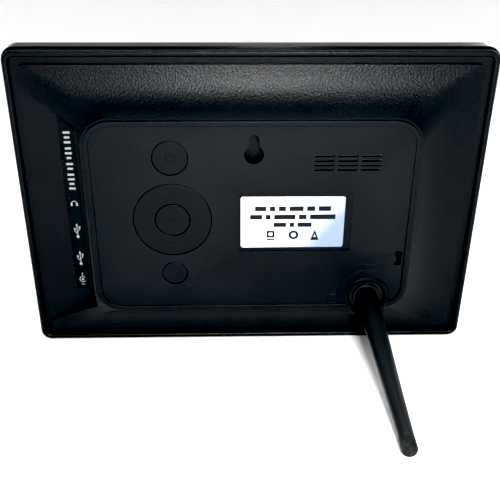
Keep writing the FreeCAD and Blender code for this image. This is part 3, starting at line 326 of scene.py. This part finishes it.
def make_materials():
    """One material for each of the record's slots."""
    return {
        "bezel_gloss": gloss_plastic("black_gloss_bezel", (0.0022, 0.0024, 0.0028),
                                     (0.0032, 0.0034, 0.0038)),
        "window_acrylic": pane_acrylic("front_pane"),
        "cover_plastic": moulded_plastic("cover_grain", (0.0012, 0.0018, 0.0022),
                                         (0.0018, 0.0024, 0.003),
                                         0.35, 0.0006, 0.00011, specular=0.072),
        "strip_gloss": gloss_plastic("strip_film", (0.0015, 0.0022, 0.0024),
                                     (0.0022, 0.003, 0.0032), 0.1),
        "label_film": label_film("rating_film"),
        "steel": metal("plated_steel", (0.24, 0.24, 0.235), (0.34, 0.34, 0.33), 0.3),
        "cell_glass": gloss_plastic("cell", (0.01, 0.011, 0.013), (0.014, 0.015, 0.018)),
        "light_guide_acrylic": gloss_plastic("light_guide", (0.6, 0.63, 0.65), (0.7, 0.72, 0.74)),
        "ribbon_film": gloss_plastic("ribbon", (0.35, 0.18, 0.03), (0.42, 0.24, 0.05), 0.3),
        "connector_plastic": moulded_plastic("connector_nylon", (0.012, 0.012, 0.013),
                                             (0.018, 0.018, 0.02),
                                             0.5, 0.0003, 0.00002),
        "board_green": circuit_board("solder_mask"),
        "chip_epoxy": moulded_plastic("chip_epoxy", (0.012, 0.012, 0.013), (0.02, 0.02, 0.021),
                                      0.6, 0.0003, 0.00002),
        "capacitor_can": metal("can_aluminium", (0.6, 0.6, 0.62), (0.72, 0.72, 0.74), 0.3),
        "plated_metal": metal("nickel", (0.5, 0.49, 0.46), (0.62, 0.61, 0.58), 0.22),
        "key_plastic": moulded_plastic("key_grain", (0.0024, 0.003, 0.0035), (0.003, 0.0036, 0.0042),
                                       0.4, 0.0005, 0.00004),
        "cone_paper": moulded_plastic("cone_paper", (0.02, 0.02, 0.02), (0.035, 0.034, 0.033),
                                      0.85, 0.0006, 0.00005),
        "lead_vinyl": moulded_plastic("lead_vinyl", (0.2, 0.012, 0.012), (0.26, 0.02, 0.018),
                                      0.45, 0.0008, 0.00001),
        "hub_plastic": moulded_plastic("hub_satin", (0.0046, 0.005, 0.0052), (0.0058, 0.0063, 0.0066),
                                       0.32, 0.0005, 0.00002),
        "insert_brass": metal("brass", (0.45, 0.3, 0.1), (0.6, 0.42, 0.16), 0.3),
        "leg_plastic": moulded_plastic("leg_satin", (0.0046, 0.0052, 0.0056), (0.006, 0.0066, 0.007),
                                       0.34, 0.0006, 0.000025, edge_wear_and_highlight=0.15),
        "tip_rubber": rubber("tip_rubber", (0.0012, 0.0014, 0.0015), (0.012, 0.0125, 0.0125)),
    }


def dress_nodes(materials):
    """Gives every CAD node the finish that its slot in the record names."""
    for part in frame["record"]["subparts"]:
        node = NODES[part["node"]]
        node.data.materials.clear()
        node.data.materials.append(materials[part["material_slot"]])


# ---- small relief and print, drawn as lines and filled shapes on the panel ------------------------

def arc(cx, cy, radius, start, end, steps=20):
    """Points along an arc, its ends given in degrees."""
    turns = [math.radians(start + (end - start) * k / steps) for k in range(steps + 1)]
    return [(cx + radius * math.cos(turn), cy + radius * math.sin(turn)) for turn in turns]


def outline_box(cx, cy, width, height, corner=0.0):
    """The closed outline of a box with rounded corners."""
    if corner <= 0:
        return [(cx + sx * width / 2, cy + sy * height / 2)
                for sx, sy in ((-1, -1), (1, -1), (1, 1), (-1, 1))]
    points = []
    for k, (sx, sy) in enumerate(((1, -1), (1, 1), (-1, 1), (-1, -1))):
        centre = (cx + sx * (width / 2 - corner), cy + sy * (height / 2 - corner))
        points += arc(*centre, corner, 90 * k - 90, 90 * k, 6)
    return points


def to_piece(name, mesh, place, body, material):
    """Places a mesh drawn in millimetres on the panel and makes it ride on its body."""
    mesh.transform(PANEL @ Matrix.Translation(Vector(place) * MM) @ Matrix.Scale(MM, 4))
    mesh.materials.clear()
    mesh.materials.append(material)
    piece = bpy.data.objects.new(name, mesh)
    bpy.context.scene.collection.objects.link(piece)
    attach(piece, body)


def curve_mesh(name, curve):
    """The mesh of a curve, with the curve removed."""
    holder = bpy.data.objects.new(f"{name}_curve", curve)
    bpy.context.scene.collection.objects.link(holder)
    bpy.context.view_layer.update()
    mesh = bpy.data.meshes.new_from_object(holder.evaluated_get(bpy.context.evaluated_depsgraph_get()))
    mesh.name = name
    bpy.data.objects.remove(holder)
    bpy.data.curves.remove(curve)
    return mesh


def lines(name, strokes, place, width, relief, body, material):
    """Raised or printed lines: round strokes of a width, flattened to a relief, in millimetres."""
    curve = bpy.data.curves.new(f"{name}_lines", "CURVE")
    curve.dimensions = "3D"
    curve.bevel_depth = width / 2
    curve.bevel_resolution = 3
    curve.use_fill_caps = True
    for points, closed in strokes:
        spline = curve.splines.new("POLY")
        spline.points.add(len(points) - 1)
        for point, (x, v) in zip(spline.points, points):
            point.co = (x, v, 0, 1)
        spline.use_cyclic_u = closed
    mesh = curve_mesh(name, curve)
    mesh.transform(Matrix.Diagonal((1, 1, relief / (width / 2), 1)))
    mesh.polygons.foreach_set("use_smooth", [True] * len(mesh.polygons))
    to_piece(name, mesh, place, body, material)


def shapes(name, outlines, place, relief, body, material):
    """Filled flat shapes of a relief, in millimetres; an outline inside another is a hole."""
    curve = bpy.data.curves.new(f"{name}_shapes", "CURVE")
    curve.dimensions = "2D"
    curve.fill_mode = "BOTH"
    curve.extrude = relief / 2
    for points in outlines:
        spline = curve.splines.new("POLY")
        spline.points.add(len(points) - 1)
        for point, (x, v) in zip(spline.points, points):
            point.co = (x, v, 0, 1)
        spline.use_cyclic_u = True
    to_piece(name, curve_mesh(name, curve), place, body, material)


def triangle(cx, cy, size, heading):
    """A filled arrowhead that points along a heading in degrees."""
    turns = [math.radians(heading + step) for step in (0, 140, 220)]
    return [(cx + size * math.cos(turn), cy + size * math.sin(turn)) for turn in turns]


ARROW_RADIUS = 12.2  # how far the ring's arrowheads stand from its middle, in millimetres
MARK_WIDTH = 0.45  # width of a moulded line, in millimetres
INK_RELIEF = 0.02  # relief of printed marks, in millimetres
PRINT_LIFT = 0.012  # print's middle above its film, in millimetres


def mark_keys(materials):
    """Shallow moulded marks on the keys."""
    plastic = materials["key_plastic"]
    x, v = middle("power_button")
    lines("power_mark", [(arc(0, 0, 1.9, 125, 415, 28), False), ([(0, 0.7), (0, 2.4)], False)],
          (x, v, level("power_button")), MARK_WIDTH, 0.2, "power_key", plastic)
    x, v = middle("direction_ring")
    strokes = []
    for turn in range(4):
        heading = 90 * turn
        towards = Vector((math.cos(math.radians(heading)), math.sin(math.radians(heading))))
        tip = towards * ARROW_RADIUS
        strokes.append((triangle(tip.x, tip.y, 1.5, heading), True))
        side = Vector((-towards.y, towards.x))
        bar = tip - towards * 2.6
        strokes.append(([tuple(bar - side * 1.2), tuple(bar + side * 1.2)], False))
    lines("direction_marks", strokes, (x, v, level("direction_ring")), MARK_WIDTH,
          0.18, "direction_keys", plastic)
    x, v = middle("ok_button")
    lines("ok_mark", [(triangle(-0.9, 0, 1.5, 0), True), ([(1.1, -1.3), (1.1, 1.3)], False),
                      ([(2.2, -1.3), (2.2, 1.3)], False)],
          (x, v, level("ok_button")), MARK_WIDTH, 0.18, "ok_key", plastic)
    x, v = middle("return_button")
    lines("return_mark", [(arc(0, -0.1, 1.6, -120, 130, 20) + [(-2.2, 1.2)], False),
                          ([(-1.4, 2.0), (-2.3, 1.2), (-1.4, 0.4)], False)],
          (x, v, level("return_button")), MARK_WIDTH, 0.18, "return_key", plastic)


PLATEAU = level("power_button")  # the keys lie flush with the raised plateau


def mark_cover(materials):
    """Moulded pictograms round the stand hub and beside the lock slot."""
    plastic = materials["cover_plastic"]
    x, v = middle("swivel_hub")
    v = middle("swivel_washer")[1]
    sweep = arc(0, 0, 14.4, 100, 170, 24)
    lines("stand_marks", [
        (outline_box(0.6, 15.6, 6.4, 4.2, 0.4), True), ([(-1.4, 17.2), (2.6, 17.2)], False),
        ([(-1.6, 14.4), (2.8, 14.4)], False),
        (outline_box(-15.7, 0.2, 4.0, 5.6, 0.4), True), ([(-16.9, 1.6), (-14.5, 1.6)], False),
        (sweep, False),
        ([(-4.0, 15.2), sweep[0], (-3.9, 12.9)], False),
        ([(-15.5, 3.9), sweep[-1], (-12.8, 3.7)], False)],
        (x, v, PLATEAU), MARK_WIDTH, 0.2, "case", plastic)
    lock_x, lock_v = middle("lock_slot_plate")
    lines("lock_mark", [(outline_box(0, -0.6, 2.6, 2.2, 0.2), True),
                        (arc(0, 0.5, 0.8, 0, 180, 12), False)],
          (lock_x - 5.2, lock_v, PLATEAU), 0.4, 0.2, "case", plastic)


def print_strip(materials):
    """White marks on the port strip: rows of bars for the card, then headphones, data and power."""
    x, v = middle("port_label_strip")
    top = level("port_label_strip") + PRINT_LIFT
    white = materials["strip_ink"]
    card, phones, power = [middle(node)[1] - v
                           for node in ("card_slot", "headphone_jack", "dc_jack")]
    card_rows = ((13.4, 2.9), (11.2, 2.3), (9.0, 2.9), (6.2, 2.6), (4.0, 2.9), (1.8, 2.0),
                 (-1.0, 2.9), (-3.2, 2.4), (-6.0, 2.9), (-8.2, 2.9), (-10.4, 2.2), (-12.6, 2.9))
    bars = [outline_box(0, card + step, width, 0.95, 0.2) for step, width in card_rows]
    strokes = [(arc(0, phones - 0.5, 1.2, -10, 190, 14), False)]
    bars += [outline_box(side * 1.2, phones - 0.9, 0.8, 1.4, 0.2) for side in (-1, 1)]
    for socket in ("usb_host_shell", "usb_device_shell"):
        centre = middle(socket)[1] - v
        strokes += [([(0, centre - 2.6), (0, centre + 2.6)], False),
                    ([(0, centre - 1.4), (-1.1, centre - 0.3), (-1.1, centre + 0.7)], False),
                    ([(0, centre - 0.4), (1.1, centre + 0.7), (1.1, centre + 1.5)], False)]
        bars += [triangle(0, centre + 3.0, 0.8, 90), arc(0, centre - 3.0, 0.7, 0, 345, 12),
                 outline_box(1.1, centre + 1.8, 0.8, 0.8), arc(-1.1, centre + 1.0, 0.45, 0, 345, 10)]
    strokes += [(arc(0, power, 1.4, 40, 320, 16), False), ([(0, power + 1.9), (0, power + 3.6)], False),
                ([(-0.7, power - 2.7), (0.7, power - 2.7)], False)]
    bars.append(arc(0, power, 0.55, 0, 345, 14))
    lines("strip_lines", strokes, (x, v, top), 0.36, INK_RELIEF, "case", white)
    shapes("strip_pads", bars, (x, v, top), INK_RELIEF, "case", white)


def print_label(materials):
    """Generic print on the rating label: rows of bars and three plain symbols."""
    x, v = middle("rating_label")
    top = level("rating_label") + PRINT_LIFT
    ink_dark = materials["label_ink"]
    rows = [(6.6, (5.0, 2.4, 3.2, 6.2, 3.6, 5.4), 2.3), (2.6, (5.4, 2.2, 9.4, 3.4, 11.2), 2.3),
            (-1.2, (5.6, 2.0, 6.2), 2.1)]
    gap = 1.5
    bars = []
    for height, lengths, thickness in rows:
        start = -(sum(lengths) + gap * (len(lengths) - 1)) / 2
        for length in lengths:
            bars.append(outline_box(start + length / 2, height, length, thickness, 0.25))
            start += length + gap
    shapes("label_bars", bars, (x, v, top), INK_RELIEF, "case", ink_dark)
    symbols = [outline_box(-9.6, -5.8, 3.6, 3.4, 0.3), outline_box(-9.6, -5.8, 1.7, 1.5, 0.2),
               outline_box(-9.6, -8.3, 3.6, 0.8),
               arc(0.6, -6.2, 2.2, 0, 345, 22), arc(0.6, -6.2, 1.1, 0, 345, 22),
               triangle(10.0, -6.6, 2.9, 90), triangle(10.0, -6.6, 1.0, 90)]
    shapes("label_symbols", symbols, (x, v, top), INK_RELIEF, "case", ink_dark)


# ---- stage ---------------------------------------------------------------------------------------

def make_floor():
    """A pale seamless floor that curves up far behind in every direction."""
    rings = [(0.0, 0.0), (0.6, 0.0), (1.2, 0.0), (1.5, 0.02), (1.75, 0.12), (1.9, 0.3), (2.0, 0.7),
             (2.0, 2.2)]  # radius and height, in metres
    mesh = bpy.data.meshes.new("floor")
    builder = bmesh.new()
    steps = 96
    turns = [2 * math.pi * k / steps for k in range(steps)]
    levels = []
    for radius, height in rings:
        if radius == 0:
            levels.append([builder.verts.new((0, 0, height))])
            continue
        levels.append([builder.verts.new((radius * math.cos(turn), radius * math.sin(turn), height))
                       for turn in turns])
    for lower, upper in zip(levels, levels[1:]):
        for k in range(steps):
            a, b = upper[k], upper[(k + 1) % steps]
            if len(lower) == 1:
                builder.faces.new((lower[0], a, b))
            else:
                builder.faces.new((lower[k], a, b, lower[(k + 1) % steps]))
    for face in builder.faces:
        face.smooth = True
    builder.to_mesh(mesh)
    builder.free()
    floor = bpy.data.objects.new("floor", mesh)
    bpy.context.scene.collection.objects.link(floor)
    material = new_material("pale_floor", roughness=0.9, specular=0.05)
    nodes = Nodes(material)
    nodes.finish(nodes.blend(nodes.noise(0.2, 3.0), (0.88, 0.88, 0.88), (0.91, 0.91, 0.91)))
    mesh.materials.append(material)


def area_light(name, place, aim, size, power):
    """A round lamp at a place, turned to a point it aims at."""
    light = bpy.data.lights.new(name, "AREA")
    light.shape = "DISK"
    light.size = size
    light.energy = power
    lamp = bpy.data.objects.new(name, light)
    lamp.location = place
    lamp.rotation_mode = "QUATERNION"
    lamp.rotation_quaternion = (aim - place).to_track_quat("-Z", "Y")
    bpy.context.scene.collection.objects.link(lamp)


def sun_lamp(name, towards, angle, strength):
    """A soft distant lamp, angle degrees wide; towards points from the frame to the lamp."""
    light = bpy.data.lights.new(name, "SUN")
    light.angle = math.radians(angle)
    light.energy = strength
    lamp = bpy.data.objects.new(name, light)
    lamp.rotation_mode = "QUATERNION"
    lamp.rotation_quaternion = towards.to_track_quat("Z", "Y")
    bpy.context.scene.collection.objects.link(lamp)


CRUSHED_BLACK = (0.0175, 0.0168, 0.0162)  # what the view shows as black, as in the photograph


def make_lights():
    """Dim surroundings, two soft suns, a small key lamp by the camera and a wide lamp for the front."""
    world = bpy.data.worlds.new("studio")
    world.use_nodes = True
    background = world.node_tree.nodes["Background"]
    background.inputs["Color"].default_value = (1.0, 1.0, 1.0, 1.0)
    background.inputs["Strength"].default_value = 0.12
    bpy.context.scene.world = world
    view = bpy.context.scene.view_settings
    view.view_transform = "Standard"
    view.use_curve_mapping = True
    view.curve_mapping.black_level = CRUSHED_BLACK
    view.curve_mapping.update()
    area_light("key_lamp", panel(27, 185, 330), panel(0, 0, 10), size=0.06, power=4.4)
    sun_lamp("wall_lamp", RIGHT * 0.07 + UP * 0.42 + OUT, angle=12.0, strength=1.6)
    sun_lamp("top_lamp", Vector((0.0, -0.1, 1.0)), angle=40.0, strength=3.4)
    area_light("front_lamp", Vector((-0.7, -1.1, 0.5)), Vector((0, 0, 0.07)), size=0.5, power=4.0)


def make_camera():
    """The camera stands behind and above the frame, a little left of its middle, and is held level."""
    data = bpy.data.cameras.new("camera")
    data.lens = 53.7
    data.sensor_width = 36.0
    data.clip_start = 0.01
    camera = bpy.data.objects.new("camera", data)
    camera.location = panel(-9.3, 143.3, 309.9)
    camera.rotation_mode = "QUATERNION"
    aim = panel(-1.0, -14.4, 15.0)
    camera.rotation_quaternion = (aim - camera.location).to_track_quat("-Z", "Y")
    bpy.context.scene.collection.objects.link(camera)
    bpy.context.scene.camera = camera


make_camera()
materials = make_materials()
materials["strip_ink"] = ink("white_ink", (0.13, 0.135, 0.14))
materials["label_ink"] = ink("dark_ink", (0.004, 0.0045, 0.005))
dress_nodes(materials)
mark_keys(materials)
mark_cover(materials)
print_strip(materials)
print_label(materials)
make_floor()
make_lights()
